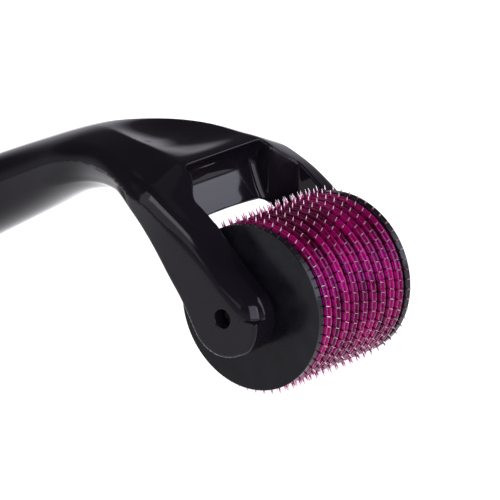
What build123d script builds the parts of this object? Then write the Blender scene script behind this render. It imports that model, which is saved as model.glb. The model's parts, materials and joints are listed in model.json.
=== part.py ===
from build123d import *
import os
from math import cos, radians, sin

# Derma roller lying on its needle tips and on the underside of its grip.
# X runs from the tail of the handle to the drum, Y along the drum's axle, Z up from the table.
# The origin is on the table, at the middle of the overall length and width.

# Overall
total_length = 140.0
tip_radius = 11.5  # drum axis to needle tips
axle_x = total_length / 2 - tip_radius
axle_z = tip_radius

# Drum
rim_radius = 10.5
drum_width = 19.5  # over both end caps
row_count = 10
row_pitch = 1.89
ring_thickness = 0.30
ring_radius = 9.8
needles_per_row = 54
needle_radius = 0.11
needle_point_length = 0.55
needle_root_depth = 0.3  # buried in the ring's edge
row_clocking = (2, 4, 3, 1, 2, 3, 1, 1, 3, 4)  # quarters of the needle pitch, set at assembly
disc_width = row_pitch - ring_thickness
ridge_height = 0.15
core_radius = 5.0
slide_clearance = 0.05
key_count = 3
key_width = 1.2
key_height = 0.7
spigot_radius = 3.0
spigot_length = 1.2
cap_edge_round = 0.12

# Axle
pin_radius = 1.15
bore_radius = 1.20
pin_length = 27.2
pin_chamfer = 0.2

# Fork
fork_outer_y = 15.4
fork_inner_y = 10.75
hub_radius = 5.0
boss_radius = 3.0
boss_gap = 0.3
arm_edge_round = 1.8
crossbar_front = -11.6  # from the drum axis
cove_radius = 5.1  # hollow along the crossbar's front
cove_depth = 1.2
cove_height = 12.2
cove_half_width = 8.0
dish_radius = 40.0  # shallow dish on top of the fork
dish_depth = 0.8
dish_centre = -19.5
dish_rim_height = 17.2

# Handle shells
wall = 2.0
seam_z = 4.5  # height of the flat seam between the two shells
corner_share = 0.46  # corner radius, as a share of a section's shorter side
hollow_sections = slice(6, -1)  # the grip's sections that are hollow inside

# Handle sections, measured from the drum axis: x, underside, top, half width
handle_sections = (
    (crossbar_front, 8.2, 15.8, 14.6),
    (-17.5, 8.7, 16.9, 13.2),
    (-24.0, 9.0, 17.25, 10.2),
    (-30.6, 8.3, 16.55, 8.1),
    (-38.3, 4.3, 13.8, 6.8),
    (-46.1, -0.2, 10.5, 6.5),
    (-58.0, -6.4, 5.7, 7.3),
    (-72.0, -10.2, 2.6, 8.6),
    (-90.0, -11.5, 1.6, 9.5),
    (-106.0, -11.5, 1.4, 9.6),
    (-119.0, -10.9, 0.2, 8.4),
    (-126.0, -8.9, -2.2, 5.6),
    (-128.5, -6.8, -4.6, 2.2),
)

first_row_y = -row_pitch * (row_count - 1) / 2
cap_inner_y = -first_row_y + ring_thickness / 2
boss_face_y = drum_width / 2 + boss_gap
side_plane = Plane(origin=(axle_x, 0, axle_z), x_dir=(1, 0, 0), z_dir=(0, -1, 0))


def drum_plane(y):
    """Plane across the drum at this Y, facing +Y, centred on the axle."""
    return Plane(origin=(axle_x, y, axle_z), x_dir=(-1, 0, 0), z_dir=(0, 1, 0))


def write_step(part, name):
    """Label a finished piece and write its STEP file."""
    part.label = name
    export_step(part, f"parts/{name}.step")


def handle_bar(sections, inset):
    """Smooth rounded bar through a run of handle sections, drawn in by the inset all round."""
    with BuildPart() as bar:
        for x, underside, top, half_width in sections:
            middle = axle_z + (underside + top) / 2
            height = top - underside - 2 * inset
            width = 2 * (half_width - inset)
            with BuildSketch(Plane(origin=(axle_x + x, 0, middle), x_dir=(0, 1, 0), z_dir=(1, 0, 0))):
                RectangleRounded(width, height, corner_share * min(width, height))
        loft()
    return bar.part


def hub_point(angle):
    """Point on the hub's round end, at an angle from +X towards +Z."""
    return (hub_radius * cos(radians(angle)), hub_radius * sin(radians(angle)))


def fork_arm(side):
    """One fork arm: flat inside, rounded outside, with a round hub and a boss towards the drum."""
    with BuildPart() as arm:
        with BuildSketch(side_plane.offset(-side * fork_inner_y)):
            with BuildLine():
                back = Spline(hub_point(210), (-6.1, 0.6), (-9.6, 5.5), (-12.8, 9.8), (-17.6, 13.6))
                top = Line(back @ 1, (-11.6, 15.0))
                front = Spline(top @ 1, (-7.7, 13.1), (-3.5, 9.9), (0.8, 5.8), hub_point(48))
                ThreePointArc(front @ 1, hub_point(-60), back @ 0)
            make_face()
        extrude(amount=-side * (fork_outer_y - fork_inner_y))
        outside = arm.faces().sort_by(Axis.Y)[-1 if side > 0 else 0]
        fillet(outside.edges(), arm_edge_round)
        with BuildSketch(side_plane.offset(-side * fork_inner_y)):
            Circle(boss_radius)
        extrude(amount=side * (fork_inner_y - boss_face_y))
    return arm.part


def key_shape(clearance):
    """Sketch of the core's section: a round with keys, grown by a clearance."""
    with BuildSketch() as shape:
        Circle(core_radius + clearance)
        with PolarLocations(core_radius, key_count):
            Rectangle(2 * (key_height + clearance), key_width + 2 * clearance)
    return shape.sketch


def needle():
    """One round needle with a ground point, along +X from inside the ring to the tip."""
    root = ring_radius - needle_root_depth
    with BuildPart() as pin:
        with BuildSketch(Plane.XY):
            with BuildLine():
                Polyline(
                    (root, 0),
                    (root, needle_radius),
                    (tip_radius - needle_point_length, needle_radius),
                    (tip_radius, 0),
                    close=True,
                )
            make_face()
        revolve(axis=Axis.X)
    return pin.part


def needle_ring(row):
    """One row of needles on its thin steel ring, keyed to the drum core."""
    turn = row_clocking[row] / 4 * 360 / needles_per_row
    one_needle = needle()
    with BuildPart() as ring:
        with BuildSketch(Plane.XY.offset(-ring_thickness / 2)):
            Circle(ring_radius)
            add(key_shape(slide_clearance), mode=Mode.SUBTRACT)
        extrude(amount=ring_thickness)
        with PolarLocations(0, needles_per_row, start_angle=turn):
            add(one_needle)
    return drum_plane(first_row_y + row * row_pitch).location * ring.part


def spacer_disc(gap):
    """One tinted disc of the drum, with two soft ridges round its rim."""
    middle = first_row_y + (gap + 0.5) * row_pitch
    valley = rim_radius - ridge_height
    with BuildPart() as disc:
        with BuildSketch(Plane.XZ):
            with BuildLine():
                Line((0, -disc_width / 2), (0, disc_width / 2))
                Line((0, disc_width / 2), (valley, disc_width / 2))
                ThreePointArc((valley, disc_width / 2), (rim_radius, disc_width / 4), (valley, 0))
                ThreePointArc((valley, 0), (rim_radius, -disc_width / 4), (valley, -disc_width / 2))
                Line((valley, -disc_width / 2), (0, -disc_width / 2))
            make_face()
        revolve(axis=Axis.Z)
        with BuildSketch(Plane.XY.offset(-disc_width)):
            add(key_shape(slide_clearance))
        extrude(amount=2 * disc_width, mode=Mode.SUBTRACT)
    return drum_plane(middle).location * disc.part


def end_cap(side):
    """One black end cap, with a spigot that plugs the end of the drum core."""
    with BuildPart() as cap:
        with BuildSketch(Plane.XY.offset(cap_inner_y)):
            Circle(rim_radius)
        extrude(amount=drum_width / 2 - cap_inner_y)
        fillet(cap.edges().filter_by(GeomType.CIRCLE), cap_edge_round)
        with BuildSketch(Plane.XY.offset(cap_inner_y)):
            Circle(spigot_radius)
        extrude(amount=-spigot_length)
        with BuildSketch(Plane.XY.offset(drum_width)):
            Circle(bore_radius)
        extrude(amount=-2 * drum_width, mode=Mode.SUBTRACT)
    facing = Plane(origin=(axle_x, 0, axle_z), x_dir=(-1, 0, 0), z_dir=(0, side, 0))
    return facing.location * cap.part


os.makedirs("parts", exist_ok=True)

# Handle: a hollow upper shell that carries the fork, closed underneath by a lower shell
with BuildPart() as handle_outside:
    add(handle_bar(handle_sections, 0))
    with BuildSketch(side_plane.offset(-cove_half_width)):
        with Locations((crossbar_front - cove_depth + cove_radius, cove_height)):
            Circle(cove_radius)
    extrude(amount=2 * cove_half_width, mode=Mode.SUBTRACT)
    with Locations((axle_x + dish_centre, 0, axle_z + dish_rim_height - dish_depth + dish_radius)):
        Sphere(dish_radius, mode=Mode.SUBTRACT)
grip_hollow = handle_bar(handle_sections[hollow_sections], wall)
seam_plane = Plane.XY.offset(seam_z)

with BuildPart() as handle_upper_shell:
    add(handle_outside.part)
    add(grip_hollow, mode=Mode.SUBTRACT)
    split(bisect_by=seam_plane, keep=Keep.TOP)
    add(fork_arm(1))
    add(fork_arm(-1))
    with BuildSketch(side_plane.offset(-fork_outer_y)):
        Circle(bore_radius)
    extrude(amount=2 * fork_outer_y, mode=Mode.SUBTRACT)
write_step(handle_upper_shell.part, "handle_upper_shell")

with BuildPart() as handle_lower_shell:
    add(handle_outside.part)
    add(grip_hollow, mode=Mode.SUBTRACT)
    split(bisect_by=seam_plane, keep=Keep.BOTTOM)
write_step(handle_lower_shell.part, "handle_lower_shell")

# Axle pin, free to turn in the arms
with BuildPart() as axle_pin:
    with BuildSketch(drum_plane(-pin_length / 2)):
        Circle(pin_radius)
    extrude(amount=pin_length)
    chamfer(axle_pin.edges().filter_by(GeomType.CIRCLE), pin_chamfer)
write_step(axle_pin.part, "axle_pin")

# Drum core: a keyed sleeve that lines up the discs and needle rings
with BuildPart() as drum_core:
    with BuildSketch(drum_plane(-cap_inner_y)):
        add(key_shape(0))
        Circle(bore_radius, mode=Mode.SUBTRACT)
    extrude(amount=2 * cap_inner_y)
    for end in (-1, 1):
        with BuildSketch(drum_plane(end * cap_inner_y)):
            Circle(spigot_radius + slide_clearance)
        extrude(amount=-end * (spigot_length + slide_clearance), mode=Mode.SUBTRACT)
write_step(drum_core.part, "drum_core")

for side, place in ((-1, "left"), (1, "right")):
    write_step(end_cap(side), f"end_cap_{place}")

for gap in range(row_count - 1):
    write_step(spacer_disc(gap), f"spacer_disc_{gap + 1:02d}")

for row in range(row_count):
    write_step(needle_ring(row), f"needle_ring_{row + 1:02d}")
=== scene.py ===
import json
import math

import bpy
import numpy as np
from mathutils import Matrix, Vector


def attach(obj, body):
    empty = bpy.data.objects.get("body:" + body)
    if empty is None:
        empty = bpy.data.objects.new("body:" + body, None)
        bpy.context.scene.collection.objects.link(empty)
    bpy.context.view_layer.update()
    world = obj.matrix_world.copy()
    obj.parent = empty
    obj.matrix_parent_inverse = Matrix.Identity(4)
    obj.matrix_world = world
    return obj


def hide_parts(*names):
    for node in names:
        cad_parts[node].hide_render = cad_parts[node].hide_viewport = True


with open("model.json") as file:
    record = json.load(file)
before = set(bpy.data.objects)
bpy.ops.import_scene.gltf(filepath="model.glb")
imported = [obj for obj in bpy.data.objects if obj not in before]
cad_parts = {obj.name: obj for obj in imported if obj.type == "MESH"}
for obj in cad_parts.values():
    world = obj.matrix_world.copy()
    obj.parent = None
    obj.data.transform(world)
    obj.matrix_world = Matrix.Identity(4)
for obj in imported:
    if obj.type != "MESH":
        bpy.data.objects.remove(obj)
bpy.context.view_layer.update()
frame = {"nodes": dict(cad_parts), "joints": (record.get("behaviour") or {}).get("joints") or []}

MM = 0.001
axle = Vector(frame["joints"][0]["pos_m"])  # the drum's axis; the handle's shape is measured from it


# ---------------------------------------------------------------- camera, floor and lights

def aim(obj, target):
    obj.rotation_euler = (Vector(target) - obj.location).to_track_quat("-Z", "Y").to_euler()


CAMERA_AZIMUTH, CAMERA_ELEVATION = 36.8, 16.5  # degrees round from the handle's side, and up
CAMERA_LENS = 373.7
CAMERA_DISTANCE = 0.6458  # from the axle
CAMERA_LEFT, CAMERA_UP = 0.00581, 0.00493  # these put the drum right of the centre, and below it


def add_camera():
    """Long lens, looking down on the near side of the fork and the front of the drum."""
    azimuth, elevation = math.radians(CAMERA_AZIMUTH), math.radians(CAMERA_ELEVATION)
    forward = Vector((
        -math.sin(azimuth) * math.cos(elevation),
        math.cos(azimuth) * math.cos(elevation),
        -math.sin(elevation),
    ))
    right = Vector((math.cos(azimuth), math.sin(azimuth), 0))
    up = right.cross(forward)
    data = bpy.data.cameras.new("camera")
    data.lens = CAMERA_LENS
    data.clip_end = 10
    camera = bpy.data.objects.new("camera", data)
    camera.location = axle - forward * CAMERA_DISTANCE - right * CAMERA_LEFT + up * CAMERA_UP
    camera.rotation_euler = forward.to_track_quat("-Z", "Y").to_euler()
    bpy.context.scene.collection.objects.link(camera)
    bpy.context.scene.camera = camera


def add_softbox(name, location, target, width, height, power, color):
    data = bpy.data.lights.new(name, "AREA")
    data.shape = "RECTANGLE"
    data.size, data.size_y = width, height
    data.energy = power
    data.color = color
    lamp = bpy.data.objects.new(name, data)
    lamp.location = location
    aim(lamp, target)
    bpy.context.scene.collection.objects.link(lamp)


FLOOR_REACH = 4.0
FLOOR_GREY = 0.4
FLOOR_GLOW, FLOOR_GLOW_FAR = 0.97, 0.6
FLOOR_FADE_START, FLOOR_FADE_END = 0.25, 0.8  # distances from the origin


def add_floor():
    """White floor that glows round the object and fades outwards."""
    mesh = bpy.data.meshes.new("floor")
    corners = [(x * FLOOR_REACH, y * FLOOR_REACH, 0) for x, y in ((-1, -1), (1, -1), (1, 1), (-1, 1))]
    mesh.from_pydata(corners, [], [(0, 1, 2, 3)])
    floor = bpy.data.objects.new("floor", mesh)
    bpy.context.scene.collection.objects.link(floor)
    material, nodes, links, shader = new_material("floor_white")
    shader.inputs["Base Color"].default_value = (FLOOR_GREY, FLOOR_GREY, FLOOR_GREY, 1)
    shader.inputs["Roughness"].default_value = 0.9
    shader.inputs["Emission Color"].default_value = (1, 1, 1, 1)
    place = nodes.new("ShaderNodeTexCoord")
    length = nodes.new("ShaderNodeVectorMath")
    length.operation = "LENGTH"
    links.new(place.outputs["Object"], length.inputs[0])
    glow = spread(
        nodes, links, length.outputs["Value"], FLOOR_GLOW, FLOOR_GLOW_FAR, FLOOR_FADE_START, FLOOR_FADE_END
    )
    links.new(glow, shader.inputs["Emission Strength"])
    mesh.materials.append(material)


# Walls and ceiling, by the sine of the angle above the horizon
WALL_TOP, WALL_COLOR = 0.12, (0.62, 0.6, 0.68, 1)
CEILING_START, CEILING_COLOR = 0.34, (0.085, 0.08, 0.085, 1)


def add_world():
    """Pale walls round the table, dark above."""
    world = bpy.data.worlds.new("studio")
    world.use_nodes = True
    nodes, links = world.node_tree.nodes, world.node_tree.links
    place = nodes.new("ShaderNodeTexCoord")
    parts = nodes.new("ShaderNodeSeparateXYZ")
    ramp = nodes.new("ShaderNodeValToRGB")
    stops = ramp.color_ramp.elements
    stops[0].position, stops[0].color = WALL_TOP, WALL_COLOR
    stops[1].position, stops[1].color = CEILING_START, CEILING_COLOR
    links.new(place.outputs["Generated"], parts.inputs["Vector"])
    links.new(parts.outputs["Z"], ramp.inputs["Fac"])
    links.new(ramp.outputs["Color"], nodes["Background"].inputs["Color"])
    bpy.context.scene.world = world
    bpy.context.scene.view_settings.view_transform = "Standard"


# ---------------------------------------------------------------- materials

def new_material(name):
    material = bpy.data.materials.new(name)
    material.use_nodes = True
    nodes, links = material.node_tree.nodes, material.node_tree.links
    return material, nodes, links, nodes["Principled BSDF"]


def noise(nodes, links, scale, detail=2.0, stretch=(1, 1, 1)):
    """Noise in the object's own space; scale is in features per metre."""
    place = nodes.new("ShaderNodeTexCoord")
    mapping = nodes.new("ShaderNodeMapping")
    mapping.inputs["Scale"].default_value = stretch
    texture = nodes.new("ShaderNodeTexNoise")
    texture.inputs["Scale"].default_value = scale
    texture.inputs["Detail"].default_value = detail
    links.new(place.outputs["Object"], mapping.inputs["Vector"])
    links.new(mapping.outputs["Vector"], texture.inputs["Vector"])
    return texture.outputs["Fac"]


def spread(nodes, links, value, low, high, start=0.3, end=0.7):
    """Maps a value between start and end to one between low and high."""
    node = nodes.new("ShaderNodeMapRange")
    node.inputs["From Min"].default_value = start
    node.inputs["From Max"].default_value = end
    node.inputs["To Min"].default_value = low
    node.inputs["To Max"].default_value = high
    links.new(value, node.inputs["Value"])
    return node.outputs["Result"]


def tint(nodes, links, value, first, second, start=0.3, end=0.7):
    """Colour ramp from the first colour at start to the second at end."""
    ramp = nodes.new("ShaderNodeValToRGB")
    ramp.color_ramp.elements[0].position = start
    ramp.color_ramp.elements[0].color = (*first, 1)
    ramp.color_ramp.elements[1].position = end
    ramp.color_ramp.elements[1].color = (*second, 1)
    links.new(value, ramp.inputs["Fac"])
    return ramp.outputs["Color"]


def bump(nodes, links, shader, value, height):
    """Bump of a real height in metres."""
    node = nodes.new("ShaderNodeBump")
    node.inputs["Distance"].default_value = height
    links.new(value, node.inputs["Height"])
    links.new(node.outputs["Normal"], shader.inputs["Normal"])


def gloss_black():
    """Injection-moulded gloss black: a faint flow ripple and slightly uneven polish."""
    material, nodes, links, shader = new_material("gloss_black_plastic")
    shader.inputs["IOR"].default_value = 1.25
    flow = noise(nodes, links, scale=90)
    colour = tint(nodes, links, flow, (0.0035, 0.003, 0.0045), (0.006, 0.005, 0.007))
    links.new(colour, shader.inputs["Base Color"])
    polish = noise(nodes, links, scale=260, detail=4)
    links.new(spread(nodes, links, polish, low=0.05, high=0.11), shader.inputs["Roughness"])
    bump(nodes, links, shader, noise(nodes, links, scale=420, detail=1), height=0.004 * MM)
    return material


def satin_black():
    """Black end caps with a fine spark-eroded grain."""
    material, nodes, links, shader = new_material("satin_black_plastic")
    shader.inputs["IOR"].default_value = 1.22
    colour = tint(nodes, links, noise(nodes, links, scale=400), (0.003, 0.003, 0.004), (0.006, 0.006, 0.008))
    links.new(colour, shader.inputs["Base Color"])
    grain = noise(nodes, links, scale=1500, detail=3)
    links.new(spread(nodes, links, grain, low=0.16, high=0.26), shader.inputs["Roughness"])
    bump(nodes, links, shader, noise(nodes, links, scale=5000, detail=1), height=0.0015 * MM)
    return material


def tinted_magenta():
    """Magenta polycarbonate, partly see-through, with painted bands of refracted light and highlight round
    the rim, and fine turning marks in its bump.
    """
    material, nodes, links, shader = new_material("tinted_magenta_plastic")
    shader.inputs["IOR"].default_value = 1.4
    shader.inputs["Specular Tint"].default_value = (1, 0.02, 0.75, 1)
    shader.inputs["Transmission Weight"].default_value = 0.3
    # Painted light: the dark and bright bands in the colour stand in for light refracted and reflected in
    # each disc, not for the plastic's own tone.
    painted_light_bands = noise(nodes, links, scale=420, detail=3, stretch=(0.4, 1.6, 0.4))
    colour = tint(nodes, links, painted_light_bands, (0.04, 0.0, 0.008), (0.24, 0.0, 0.075), start=0.36, end=0.64)
    links.new(colour, shader.inputs["Base Color"])
    haze = noise(nodes, links, scale=900, detail=3)
    links.new(spread(nodes, links, haze, low=0.1, high=0.22), shader.inputs["Roughness"])
    turned = noise(nodes, links, scale=1500, detail=2, stretch=(0.4, 5, 0.4))
    bump(nodes, links, shader, turned, height=0.01 * MM)
    return material


# Radii between which a needle turns from the painted magenta reflection of the discs to bright steel
ROOT_PAINTED_REFLECTION_START, ROOT_PAINTED_REFLECTION_END = 10.7 * MM, 11.4 * MM


def needle_steel():
    """Bright ground points; their roots are painted with the magenta reflection of the discs round them."""
    material, nodes, links, shader = new_material("needle_steel")
    shader.inputs["Metallic"].default_value = 1.0
    colour = tint(nodes, links, noise(nodes, links, scale=1200), (0.7, 0.6, 0.58), (0.92, 0.86, 0.84))
    place = nodes.new("ShaderNodeTexCoord")
    radial = nodes.new("ShaderNodeVectorMath")
    radial.operation = "MULTIPLY_ADD"
    radial.inputs[1].default_value = (1, 0, 1)
    radial.inputs[2].default_value = (-axle.x, 0, -axle.z)
    length = nodes.new("ShaderNodeVectorMath")
    length.operation = "LENGTH"
    links.new(place.outputs["Object"], radial.inputs[0])
    links.new(radial.outputs["Vector"], length.inputs[0])
    mix = nodes.new("ShaderNodeMix")
    mix.data_type = "RGBA"
    # Painted reflection: the roots get the magenta that real needles pick up from the discs, fading out to
    # the steel's own colour.
    mix.inputs["A"].default_value = (0.22, 0.012, 0.09, 1)
    painted_reflection_fade = spread(nodes, links, length.outputs["Value"], 0, 1, ROOT_PAINTED_REFLECTION_START, ROOT_PAINTED_REFLECTION_END)
    links.new(painted_reflection_fade, mix.inputs["Factor"])
    links.new(colour, mix.inputs["B"])
    links.new(mix.outputs["Result"], shader.inputs["Base Color"])
    grinding = noise(nodes, links, scale=4000, detail=3)
    links.new(spread(nodes, links, grinding, low=0.18, high=0.34), shader.inputs["Roughness"])
    return material


def axle_steel():
    """Drawn steel wire, darkened as painted shade for the bore it sits in, with fine marks along its length.
    """
    material, nodes, links, shader = new_material("axle_steel")
    shader.inputs["Metallic"].default_value = 1.0
    # Painted shade: the near-black colour stands in for the shade in the bore round the pin's ends, not for
    # the steel's own colour.
    colour = tint(nodes, links, noise(nodes, links, scale=900), (0.02, 0.02, 0.021), (0.04, 0.04, 0.042))
    links.new(colour, shader.inputs["Base Color"])
    drawing = noise(nodes, links, scale=3000, detail=3, stretch=(1, 0.1, 1))
    links.new(spread(nodes, links, drawing, low=0.35, high=0.5), shader.inputs["Roughness"])
    return material


def dress(names, material):
    """Gives CAD nodes a material in place of their own."""
    for name in names:
        node = frame["nodes"][name]
        node.data.materials.clear()
        node.data.materials.append(material)


# ---------------------------------------------------------------- the handle's shape, in mm from the axle

def spline(*points):
    """Smooth curve through (x, value) points with x rising, straight past both ends."""
    x, v = np.array(points, float).T
    n = len(x)
    h = np.diff(x)
    rows, right_side = np.eye(n), np.zeros(n)
    for i in range(1, n - 1):
        rows[i, i - 1 : i + 2] = h[i - 1], 2 * (h[i - 1] + h[i]), h[i]
        right_side[i] = 6 * ((v[i + 1] - v[i]) / h[i] - (v[i] - v[i - 1]) / h[i - 1])
    bend = np.linalg.solve(rows, right_side)

    def at(q):
        i = np.clip(np.searchsorted(x, q) - 1, 0, n - 2)
        inside = np.clip(q, x[0], x[-1])
        a, b = (x[i + 1] - inside) / h[i], (inside - x[i]) / h[i]
        value = a * v[i] + b * v[i + 1] + ((a**3 - a) * bend[i] + (b**3 - b) * bend[i + 1]) * h[i] ** 2 / 6
        end = np.where(q < x[0], 0, n - 2)
        slope = (v[end + 1] - v[end]) / h[end]
        bends = np.where(q < x[0], 2 * bend[end] + bend[end + 1], -bend[end] - 2 * bend[end + 1])
        slope -= bends * h[end] / 6
        return value + (q - inside) * slope

    return at


def step(q, start, end):
    """0 before start, 1 after end, smooth between."""
    t = np.clip((q - start) / (end - start), 0, 1)
    return t * t * (3 - 2 * t)


def both(a, b, radius):
    """Where two shapes overlap, with the edge rounded to a radius."""
    rounded = np.hypot(np.maximum(a + radius, 0), np.maximum(b + radius, 0))
    return np.minimum(np.maximum(a, b), -radius) + rounded


# Handle seen from the side: the line along its back, and its underside
back_line = spline(
    (-128.5, -0.6), (-119, 0.5), (-106, 1.4), (-90, 1.6), (-72, 2.6), (-58, 5.7), (-46.1, 10.5),
    (-38.3, 13.8), (-33.7, 15.6), (-30.6, 16.55), (-27, 17.15), (-21.3, 17.3), (-17, 16.95), (-14.2, 16.5),
    (-11.4, 15.9), (-10.1, 15.2), (-7.7, 13.7), (-5.3, 11.9), (-3.5, 10.35), (0.8, 6.1), (3.6, 3.2),
)
underside = spline(
    (-128.5, -10.6), (-119, -11.1), (-106, -11.43), (-90, -11.43), (-72, -10.2), (-58, -6.4), (-46.1, -0.2),
    (-38.3, 4.3), (-32.9, 7.3), (-30.6, 8.2), (-27, 8.9), (-20, 8.8), (-14, 8.3), (-11, 8.4),
)
# Handle seen from above: half width, and the ridge on each side of the dish
half_width = spline(
    (-128.5, 8.4), (-119, 8.9), (-106, 9.6), (-90, 9.5), (-72, 8.6), (-58, 7.3), (-46.1, 6.5),
    (-41, 6.55), (-36, 7.0), (-32, 7.7), (-28, 8.6), (-25, 9.7), (-22, 11.1), (-19, 12.5), (-16, 13.7),
    (-13, 14.6), (-10, 15.2), (-7, 15.4), (0, 15.4), (6, 15.4),
)
ridge = spline(
    (-34, 0.0), (-27.1, 3.0), (-21.3, 5.7), (-17, 6.8), (-14.2, 7.4), (-11.4, 8.0), (-8, 8.2), (6, 8.2),
)
# How steeply the shoulders fall away outside the ridges
shoulder_slope = spline(
    (-34, 0.2), (-24, 0.33), (-17, 0.38), (-14.2, 0.4), (-11.4, 0.4), (-8, 0.34), (-4, 0.28), (0, 0.2),
    (3, 0.1), (6, 0.04),
)
# Height on an arm's flank where its rounded front edge gives way to its crisp back edge
flank_line = spline(
    (-26, 11), (-20, 12), (-16, 12), (-13, 11.2), (-10, 9.6), (-6, 6.3), (0, 0), (6, -6.8),
)
# Crossbar's front wall, by height: hollowed, with its lower lip forward
front_wall = spline(
    (6.5, -10.9), (8.4, -11.2), (9.2, -11.6), (10.5, -12.15), (12, -12.7), (13.3, -12.9), (14.6, -12.5),
    (15.9, -11.4),
)
# Back edge of the fork along its sides: the underside rises to it from the middle
back_edge = spline(
    (-34, 9.6), (-30, 11.5), (-26, 12.4), (-22, 12.8), (-20, 12.7), (-17.6, 11.9), (-15.4, 10.8),
    (-13.4, 9.3), (-11.5, 7.55), (-9.8, 5.6), (-8.2, 3.5), (-6.6, 1.4), (-4.4, -2.4),
)

# Grip and neck
SECTION_POWER = 2.4  # of a section's outline: 2 is an ellipse, more is squarer
TAIL_START, TAIL_LENGTH = -117.0, 11.5
NECK_BLEND = (-36, -23)  # the neck runs over into the fork
SEAM = 4.5 - axle.z / MM

# Top of the fork
RIDGE_ROUND = 0.6
DISH_DEPTH, DISH_POWER = 0.95, 1.15
DISH_START, DISH_END = (-29, -20), (-17.5, -11.6)

# Crossbar, running over into the arms sideways and forwards
CROSSBAR_ROUND = 0.6
ARM_BLEND_SIDE, ARM_BLEND_FRONT = (7.0, 10.6), (-18, -9.5)

# Arms
HUB_RADIUS = 5.0
HUB_ARC = (48, -150)  # degrees from the front towards the top
ARM_ROOT, ARM_FRONT_END, ARM_BACK_START = -24, 0.4, -4.5
OUTLINE_POINTS = 60  # on each of the outline's three stretches
ARM_INSIDE = 10.75
CRISP_EDGE = 0.45
ARM_EDGE_ROUND, HUB_EDGE_ROUND = 1.75, 0.5  # added to it above the flank line, and again at the hub
FLANK_BLEND, SHOULDER_BLEND = (-1.2, 1.2), (-2, 2)  # above and below the flank line
LEDGE = (0.0, 0.35)  # heights over which the rounding stops on the hub
HUB_BLEND = (-3, 3)
INNER_EDGE = 0.3
HUB_INNER_EDGE, HUB_INNER_BLEND = 0.5, (-4, 2)  # added to it at the hub

# Window between the crossbar and the drum
WINDOW_INSET, WINDOW_BLEND = 2.75, (-10.6, -7.4)  # narrower beside the crossbar than beside the drum
WINDOW_CORNER = 1.1

# Bore for the axle, with a boss towards the drum
BORE_RADIUS, BORE_ROUND = 1.2, 0.12
BOSS_RADIUS, BOSS_FACE, BOSS_ROUND = 3.0, 10.05, 0.15
BOSS_ROOT, BOSS_ROOT_ROUND = 1, 0.1  # buried in the arm


def arm_outline():
    """Closed side outline of a fork arm: front, round hub end, and curved back."""
    front_x = np.linspace(ARM_ROOT, ARM_FRONT_END, OUTLINE_POINTS)
    front = np.stack([front_x, back_line(front_x)], 1)
    turn = np.radians(np.linspace(*HUB_ARC, OUTLINE_POINTS))
    hub = HUB_RADIUS * np.stack([np.cos(turn), np.sin(turn)], 1)
    rear_x = np.linspace(ARM_BACK_START, ARM_ROOT, OUTLINE_POINTS)[1:-1]
    return np.concatenate([front, hub, np.stack([rear_x, back_edge(rear_x)], 1)])


def signed_distance(outline, grid_x, grid_z):
    """Distance from each grid point to a closed outline, negative inside."""
    a, b = outline, np.roll(outline, -1, 0)
    points = np.stack(np.meshgrid(grid_x, grid_z, indexing="ij"), -1).reshape(-1, 1, 2)
    edge = b - a
    along = np.clip(((points - a) * edge).sum(-1) / (edge**2).sum(-1), 0, 1)
    distance = np.linalg.norm(points - a - along[..., None] * edge, axis=-1).min(1)
    x, z = points[..., 0], points[..., 1]
    spans = (a[:, 1] > z) != (b[:, 1] > z)
    crosses = spans & (x < a[:, 0] + (z - a[:, 1]) / (edge[:, 1] + 1e-12) * edge[:, 0])
    inside = crosses.sum(1) % 2 == 1
    return np.where(inside, -distance, distance).reshape(len(grid_x), len(grid_z))


# The arm's outline as a field on a grid round the arm
ARM_STEP = 0.15
arm_x = np.arange(-30, 9, ARM_STEP)
arm_z = np.arange(-10, 22, ARM_STEP)
arm_field = signed_distance(arm_outline(), arm_x, arm_z)


def arm_side(x, z):
    """The arm's side outline as a smooth distance, by cubic interpolation of its field."""
    u = np.clip((x - arm_x[0]) / ARM_STEP, 1, len(arm_x) - 3)
    w = np.clip((z - arm_z[0]) / ARM_STEP, 1, len(arm_z) - 3)
    i, k = u.astype(int), w.astype(int)
    total = 0
    for di, wi in enumerate(cubic_weights(u - i)):
        for dk, wk in enumerate(cubic_weights(w - k)):
            total = total + wi * wk * arm_field[i + di - 1, k + dk - 1]
    return total


def cubic_weights(t):
    """Weights of the four grid points round a place that is a share t of the way between the middle two."""
    return (
        (-t + 2 * t**2 - t**3) / 2,
        (2 - 5 * t**2 + 3 * t**3) / 2,
        (t + 4 * t**2 - 3 * t**3) / 2,
        (t**3 - t**2) / 2,
    )


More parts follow.
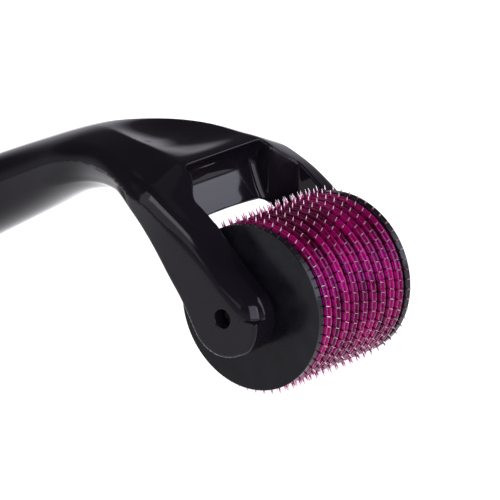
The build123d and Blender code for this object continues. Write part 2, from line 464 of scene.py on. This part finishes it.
def handle_shape(x, y, z):
    """The handle with its fork as a field: negative inside, zero on the surface."""
    side = np.abs(y)
    width = half_width(x)
    top, bottom = back_line(x), underside(x)

    # grip and neck: rounded sections that close in a blunt tail
    half_height, middle = (top - bottom) / 2, (top + bottom) / 2
    across, upright = side / width, np.abs(z - middle) / np.abs(half_height)
    section = (across**SECTION_POWER + upright**SECTION_POWER) ** (1 / SECTION_POWER)
    tail = np.clip((TAIL_START - x) / TAIL_LENGTH, 0, None)
    grip = (np.hypot(section, tail) - 1) * np.minimum(width, half_height)

    # fork: the crossbar in the middle runs over into the arms, below a dished top
    past_ridge = side - ridge(x)
    drop = shoulder_slope(x) * (past_ridge + np.hypot(past_ridge, RIDGE_ROUND)) / 2
    dish = np.clip(1 - (side / np.maximum(ridge(x), 1)) ** 2, 0, 1)
    drop = drop + DISH_DEPTH * dish**DISH_POWER * step(x, *DISH_START) * (1 - step(x, *DISH_END))
    rise = (back_edge(x) - bottom) * (side / width) ** 2
    crossbar = both(z + drop - top, bottom + rise - z, CROSSBAR_ROUND)
    arm = arm_side(x, z + drop * step(z - flank_line(x), *SHOULDER_BLEND))
    fork = crossbar + (arm - crossbar) * step(side, *ARM_BLEND_SIDE) * step(x, *ARM_BLEND_FRONT)
    rounded = step(z - flank_line(x), *FLANK_BLEND) * step(z, *LEDGE)
    edge = CRISP_EDGE + rounded * (ARM_EDGE_ROUND + HUB_EDGE_ROUND * step(x, *HUB_BLEND))
    fork = both(fork, side - width, edge)

    # between the arms: room for the drum, and the crossbar's hollowed front wall
    wall = front_wall(z)
    inside = ARM_INSIDE - WINDOW_INSET * (1 - step(x, *WINDOW_BLEND))
    inner_edge = INNER_EDGE + HUB_INNER_EDGE * step(x, *HUB_INNER_BLEND)
    fork = both(fork, -both(side - inside, wall - x, WINDOW_CORNER), inner_edge)

    # the neck runs over into the fork, which gets its bosses and bore
    shape = grip + (fork - grip) * step(x, *NECK_BLEND)
    from_axle = np.hypot(x, z)
    boss = both(from_axle - BOSS_RADIUS, BOSS_FACE - side, BOSS_ROUND)
    boss = both(boss, side - ARM_INSIDE - BOSS_ROOT, BOSS_ROOT_ROUND)
    shape = np.minimum(shape, boss)
    return both(shape, BORE_RADIUS - from_axle, BORE_ROUND)


# ---------------------------------------------------------------- meshing

def grid_lines(start, *runs):
    """Grid lines from start over runs of (end, pitch)."""
    lines = [np.array([start])]
    for end, pitch in runs:
        count = max(1, round((end - start) / pitch))
        lines.append(np.linspace(start, end, count + 1)[1:])
        start = end
    return np.concatenate(lines)


def gradient(field, points, h=0.02):
    """Slope of a field at each point, by central differences h to each side."""
    x, y, z = points.T
    return np.stack([
        field(x + h, y, z) - field(x - h, y, z),
        field(x, y + h, z) - field(x, y - h, z),
        field(x, y, z + h) - field(x, y, z - h),
    ], 1) / (2 * h)


SETTLING_ROUNDS = 4
LARGEST_MOVE = 0.6  # of a cell, in one round
LEAST_SLOPE = 0.05


def mesh_field(field, xs, ys, zs):
    """Quads over the zero surface of a field that is the same on both sides of y = 0; ys starts at 0."""
    half = field(*np.meshgrid(xs, ys, zs, indexing="ij"))
    value = np.concatenate([half[:, :0:-1], half], 1)
    lines = (xs, np.concatenate([-ys[:0:-1], ys]), zs)
    solid = value < 0

    # one vertex per mixed cell, at the mean of its edge crossings
    cells = tuple(n - 1 for n in value.shape)
    total, count = np.zeros(cells + (3,)), np.zeros(cells)
    crossings = []
    for axis in range(3):
        low = [slice(None)] * 3
        high = [slice(None)] * 3
        low[axis], high[axis] = slice(None, -1), slice(1, None)
        a, b = value[tuple(low)], value[tuple(high)]
        where = np.argwhere(solid[tuple(low)] != solid[tuple(high)])
        i, j, k = where.T
        share = a[i, j, k] / (a[i, j, k] - b[i, j, k])
        point = np.stack([lines[n][where[:, n]] for n in range(3)], 1).astype(float)
        point[:, axis] += share * np.diff(lines[axis])[where[:, axis]]
        first, second = [n for n in range(3) if n != axis]
        around = []
        for d1, d2 in ((-1, -1), (0, -1), (0, 0), (-1, 0)):
            cell = where.copy()
            cell[:, first] += d1
            cell[:, second] += d2
            around.append(cell)
            np.add.at(total, tuple(cell.T), point)
            np.add.at(count, tuple(cell.T), 1)
        crossings.append((axis, solid[i, j, k], around))

    used = np.argwhere(count > 0)
    number = np.full(cells, -1)
    number[tuple(used.T)] = np.arange(len(used))
    vertices = total[tuple(used.T)] / count[tuple(used.T)][:, None]

    # settle the vertices onto the surface
    room = np.stack([np.diff(lines[n])[used[:, n]] for n in range(3)], 1) * LARGEST_MOVE
    for _ in range(SETTLING_ROUNDS):
        slope = gradient(field, vertices)
        move = -field(*vertices.T)[:, None] * slope / np.maximum((slope**2).sum(1), LEAST_SLOPE)[:, None]
        vertices += np.clip(move, -room, room)
    normals = gradient(field, vertices)
    normals /= np.linalg.norm(normals, axis=1)[:, None] + 1e-12

    faces = []
    for axis, starts_solid, around in crossings:
        quad = np.stack([number[tuple(cell.T)] for cell in around], 1)
        turned = starts_solid if axis != 1 else ~starts_solid
        faces.append(np.where(turned[:, None], quad, quad[:, ::-1]))
    return vertices, normals, np.concatenate(faces)


def add_shell(name, field, xs, ys, zs, node, material):
    """One moulded shell of the handle: rides the handle and stands for its CAD node."""
    vertices, normals, faces = mesh_field(field, xs, ys, zs)
    mesh = bpy.data.meshes.new(name)
    mesh.from_pydata((vertices * MM + np.array(axle)).tolist(), [], faces.tolist())
    mesh.polygons.foreach_set("use_smooth", [True] * len(faces))
    mesh.normals_split_custom_set_from_vertices(normals.tolist())
    mesh.materials.append(material)
    piece = bpy.data.objects.new(name, mesh)
    bpy.context.scene.collection.objects.link(piece)
    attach(piece, "handle")
    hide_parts(node)


SEAM_GAP = 0.03  # each shell stops short of the seam by this
SEAM_ROUND = 0.15


def upper_shell(x, y, z):
    return both(handle_shape(x, y, z), SEAM + SEAM_GAP - z, SEAM_ROUND)


def lower_shell(x, y, z):
    return both(handle_shape(x, y, z), z - SEAM + SEAM_GAP, SEAM_ROUND)


# ---------------------------------------------------------------- the whole scene

add_camera()
add_world()
add_floor()
# name, azimuth and elevation in degrees seen from the axle, distance, width, height, radiance, colour
for name, azimuth, elevation, distance, width, height, radiance, color in (
    ("behind_drum", 42, 26, 0.6, 0.42, 0.5, 5.2, (0.84, 0.84, 1)),
    ("front_left", -120, 34, 0.6, 0.6, 0.36, 1.7, (0.95, 0.9, 1)),
    ("front_left_strip", -112, 45, 0.6, 0.5, 0.14, 5.0, (0.96, 0.88, 1)),
    ("front_right", -12, 16, 0.7, 0.1, 0.4, 5.0, (1, 0.9, 1)),
    ("beside_camera", -34, 20, 0.7, 0.5, 0.46, 5.5, (0.84, 0.78, 1)),
    ("ceiling", 150, 80, 0.8, 0.4, 0.7, 0.22, (1, 0.85, 0.85)),
):
    a, e = math.radians(azimuth), math.radians(elevation)
    direction = Vector((math.cos(a) * math.cos(e), math.sin(a) * math.cos(e), math.sin(e)))
    power = radiance * math.pi * width * height
    add_softbox(name, axle + direction * distance, axle, width, height, power, color)

# Pitch of the mesh, in mm: along the grip, over the rest, round the bore and at the seam.
# The grids reach just past the handle on every side, and the lower shell's ends where the seam has run out.
GRIP_PITCH, PITCH, BORE_PITCH, SEAM_PITCH = 1.0, 0.3, 0.16, 0.075
handle_material = gloss_black()
grid_y = grid_lines(0, (15.9, PITCH))
add_shell(
    "handle_top_moulding",
    upper_shell,
    grid_lines(-129.5, (-40, GRIP_PITCH), (-1.6, PITCH), (1.6, BORE_PITCH), (5.8, PITCH)),
    grid_y,
    grid_lines(SEAM - 0.45, (SEAM + 0.3, SEAM_PITCH), (-1.6, PITCH), (1.6, BORE_PITCH), (18, PITCH)),
    "handle_upper_shell",
    handle_material,
)
add_shell(
    "handle_bottom_moulding",
    lower_shell,
    grid_lines(-129.5, (-50, GRIP_PITCH)),
    grid_y,
    grid_lines(-12, (SEAM - 0.3, PITCH), (SEAM + 0.45, SEAM_PITCH)),
    "handle_lower_shell",
    handle_material,
)

names = sorted(frame["nodes"])
dress([n for n in names if n.startswith("end_cap")], satin_black())
dress([n for n in names if n.startswith("spacer_disc") or n == "drum_core"], tinted_magenta())
dress([n for n in names if n.startswith("needle_ring")], needle_steel())
dress(["axle_pin"], axle_steel())
